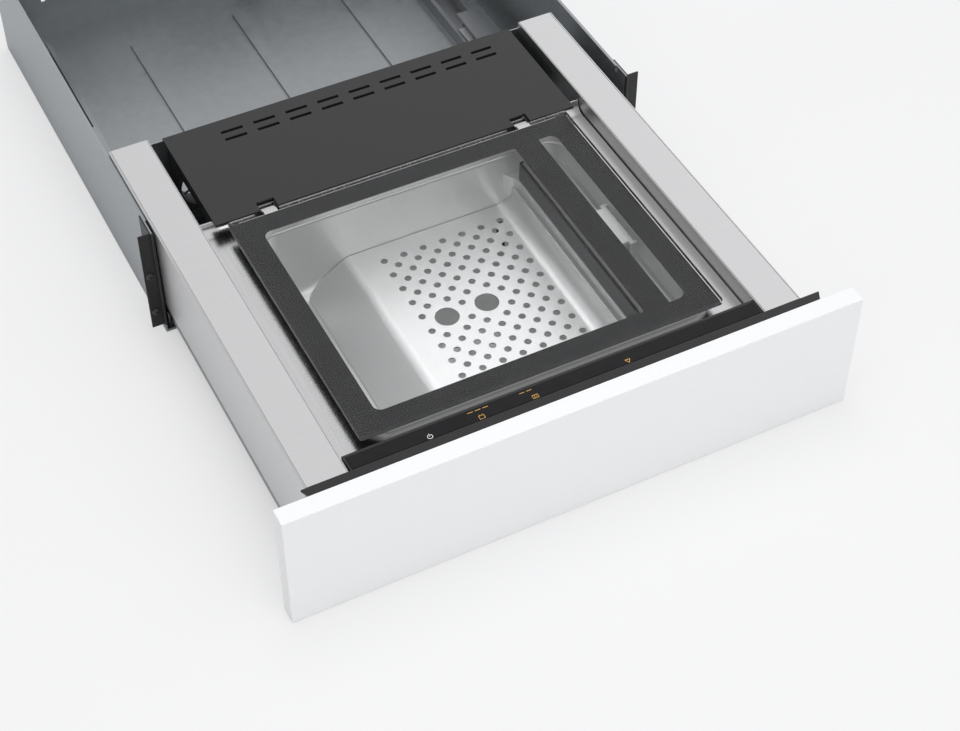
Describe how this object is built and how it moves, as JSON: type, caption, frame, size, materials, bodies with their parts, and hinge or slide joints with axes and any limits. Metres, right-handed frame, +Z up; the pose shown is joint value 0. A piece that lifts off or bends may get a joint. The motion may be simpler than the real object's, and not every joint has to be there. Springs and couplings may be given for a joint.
{
  "type": "vacuum sealing drawer",
  "caption": "Low built-in drawer with a lidded vacuum chamber, a perforated insert and a sealing bar, on telescopic runners in a housing.",
  "frame": {"origin": "centre of the housing's base, on the niche floor", "axes": "+Z up, -Y towards the user and the way the drawer opens, +X to the user's right"},
  "size_m": [0.596, 0.9315, 0.142],
  "materials": {
    "white_panel": "satin white lacquer",
    "black_trim": "satin black",
    "black_glass": "glossy black touch glass",
    "brushed_steel": "fine brushed along the length",
    "deck_steel": "fine satin",
    "chamber_steel": "satin deep-drawn steel",
    "insert_steel": "bright satin sheet",
    "galvanised": "galvanised sheet",
    "runner_steel": "zinc-plated steel",
    "black_steel": "black powder coat",
    "lid_glass": "clear toughened glass",
    "lid_print": "black enamel print",
    "silicone": "soft black silicone",
    "grey_plastic": "moulded dark grey plastic",
    "light_plastic": "moulded light grey plastic",
    "aluminium": "milled aluminium",
    "heating_band": "woven cover over the heating band",
    "circuit_board": "green circuit board",
    "rubber": "black rubber",
    "cast_alloy": "die-cast alloy",
    "motor_black": "black painted steel",
    "winding": "varnished winding and core",
    "zinc_screw": "zinc-plated screws"
  },
  "bodies": {
    "housing": {"housing_base": "galvanised", "housing_side_left": "galvanised", "housing_side_right": "galvanised", "housing_back": "galvanised", "front_flange_left": "black_steel", "front_flange_right": "black_steel", "runner_fixed_left": "runner_steel", "runner_fixed_right": "runner_steel", "push_latch_body": "grey_plastic", "mains_inlet": "grey_plastic", "rear_buffers": "rubber"},
    "runner_beam_left": {"runner_middle_left": "runner_steel", "runner_glides_left": "light_plastic"},
    "runner_beam_right": {"runner_middle_right": "runner_steel", "runner_glides_right": "light_plastic"},
    "drawer": {"runner_inner_left": "runner_steel", "runner_inner_right": "runner_steel", "side_wall_left": "brushed_steel", "side_wall_right": "brushed_steel", "drawer_floor": "galvanised", "drawer_back": "galvanised", "deck": "deck_steel", "chamber": "chamber_steel", "lid_seal": "silicone", "seal_bar_carrier": "grey_plastic", "bar_cylinders": "aluminium", "clip_base": "light_plastic", "front_panel": "white_panel", "front_carrier": "deck_steel", "panel_screws": "zinc_screw", "front_bar": "black_trim", "control_housing": "black_trim", "control_glass": "black_glass", "control_board": "circuit_board", "rear_cover": "black_trim", "hinge_brackets": "motor_black", "hinge_pins": "zinc_screw", "pump_body": "cast_alloy", "pump_motor": "motor_black", "pump_mounts": "rubber", "suction_fitting": "light_plastic", "suction_filter": "zinc_screw", "solenoid_valve": "cast_alloy", "vacuum_hose": "rubber", "transformer": "winding", "power_board": "circuit_board", "fan_frame": "grey_plastic"},
    "fan": {"fan_rotor": "grey_plastic"},
    "lid": {"lid_glass": "lid_glass", "lid_mask": "lid_print", "counter_bar": "aluminium", "counter_strip": "silicone", "lid_hinge_rail": "aluminium"},
    "seal_bar": {"sealing_bar": "aluminium", "heating_strip": "heating_band", "bar_pistons": "zinc_screw"},
    "insert": {"insert_plate": "insert_steel", "insert_feet": "rubber"},
    "clip": {"bag_clip": "light_plastic"},
    "latch": {"latch_plunger": "light_plastic"}
  },
  "joints": [
    {"name": "drawer_slide", "type": "slide", "parent": "housing", "child": "drawer", "axis": [0, -1, 0], "range_m": [-0.3712, 0]},
    {"name": "runner_slide_left", "type": "slide", "parent": "housing", "child": "runner_beam_left", "axis": [0, -1, 0], "range_m": [-0.1856, 0]},
    {"name": "runner_slide_right", "type": "slide", "parent": "housing", "child": "runner_beam_right", "axis": [0, -1, 0], "range_m": [-0.1856, 0]},
    {"name": "lid_hinge", "type": "hinge", "parent": "drawer", "child": "lid", "pos_m": [0, -0.27535, 0.13], "axis": [-1, 0, 0], "range_deg": [0, 82]},
    {"name": "seal_bar_lift", "type": "slide", "parent": "drawer", "child": "seal_bar", "axis": [0, 0, 1], "range_m": [0, 0.005]},
    {"name": "insert_lift", "type": "slide", "parent": "drawer", "child": "insert", "axis": [0, 0, 1], "range_m": [0, 0.04]},
    {"name": "bag_clip_hinge", "type": "hinge", "parent": "drawer", "child": "clip", "pos_m": [0.155, -0.44335, 0.118], "axis": [0, 1, 0], "range_deg": [0, 28], "stiffness_Nm_per_rad": 0.05, "springref_deg": -11.46},
    {"name": "latch_push", "type": "slide", "parent": "housing", "child": "latch", "axis": [0, 1, 0], "range_m": [0, 0.004], "stiffness_N_per_m": 300, "springref_m": -0.002},
    {"name": "fan_spin", "type": "hinge", "parent": "drawer", "child": "fan", "pos_m": [-0.172, -0.14735, 0.078], "axis": [0, 1, 0], "continuous": true}
  ],
  "couplings": [
    {"joint": "runner_slide_left", "follows": "drawer_slide", "ratio": 0.5},
    {"joint": "runner_slide_right", "follows": "drawer_slide", "ratio": 0.5}
  ]
}
